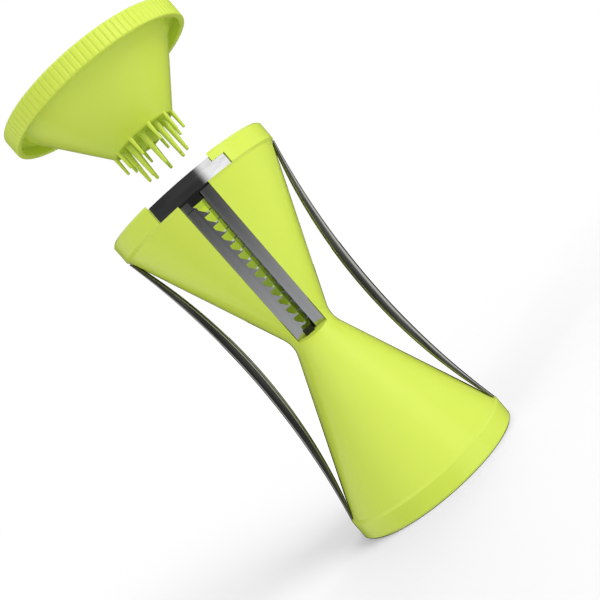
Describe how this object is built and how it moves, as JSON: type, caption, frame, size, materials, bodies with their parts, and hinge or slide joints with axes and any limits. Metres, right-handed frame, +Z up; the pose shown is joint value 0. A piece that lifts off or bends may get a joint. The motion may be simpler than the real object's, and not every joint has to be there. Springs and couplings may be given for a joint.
{
  "type": "hourglass spiralizer",
  "caption": "Hand-held hourglass vegetable spiralizer: double funnel with a slotted toothed blade cartridge, steel side bows, spiked turning food holder and spare blade cartridges.",
  "frame": {"origin": "centre of the lower mouth, in the plane of the rim on which the hourglass stands", "axes": "+Z up along the axis of both funnels towards the food holder, -Y out of the slot with the blade, +X to the right seen from the slot's side"},
  "size_m": [0.0894, 0.1848, 0.2215],
  "materials": {
    "green_plastic": "glossy lime green moulding",
    "cover_plastic": "glossy lime green moulding",
    "band_steel": "polished",
    "bow_steel": "satin, brushed along its length",
    "blade_steel": "brushed along its length, bright at the cutting edge",
    "black_plastic": "satin black moulding"
  },
  "bodies": {
    "hourglass": {"hourglass_body": "green_plastic", "front_band": "band_steel", "bow_right": "bow_steel", "bow_left": "bow_steel"},
    "blade": {"medium_knife_plate": "blade_steel", "medium_guide_plate": "blade_steel", "medium_head_block": "black_plastic", "medium_toe_block": "black_plastic", "medium_tooth_strip": "blade_steel"},
    "press": {"palm_cover": "cover_plastic"},
    "holder": {"food_holder": "green_plastic"},
    "fine_spare": {"fine_knife_plate": "blade_steel", "fine_guide_plate": "blade_steel", "fine_head_block": "black_plastic", "fine_toe_block": "black_plastic", "fine_tooth_strip": "blade_steel"},
    "coarse_spare": {"coarse_knife_plate": "blade_steel", "coarse_guide_plate": "blade_steel", "coarse_head_block": "black_plastic", "coarse_toe_block": "black_plastic", "coarse_tooth_strip": "blade_steel"},
    "plain_spare": {"plain_knife_plate": "blade_steel", "plain_guide_plate": "blade_steel", "plain_head_block": "black_plastic", "plain_toe_block": "black_plastic"}
  },
  "joints": [
    {"name": "holder_feed", "type": "slide", "parent": "hourglass", "child": "press", "axis": [0, 0, 1], "range_m": [-0.0535, 0.04]},
    {"name": "holder_spin", "type": "hinge", "parent": "press", "child": "holder", "pos_m": [0, 0, 0.2], "axis": [0, 0, 1], "continuous": true},
    {"name": "blade_lift", "type": "slide", "parent": "hourglass", "child": "blade", "axis": [0, 0, 1], "range_m": [0, 0.055]},
    {"name": "fine_spare_lift", "type": "slide", "parent": "hourglass", "child": "fine_spare", "axis": [0, 0, 1], "range_m": [0, 0.1]},
    {"name": "coarse_spare_lift", "type": "slide", "parent": "hourglass", "child": "coarse_spare", "axis": [0, 0, 1], "range_m": [0, 0.1]},
    {"name": "plain_spare_lift", "type": "slide", "parent": "hourglass", "child": "plain_spare", "axis": [0, 0, 1], "range_m": [0, 0.1]}
  ]
}
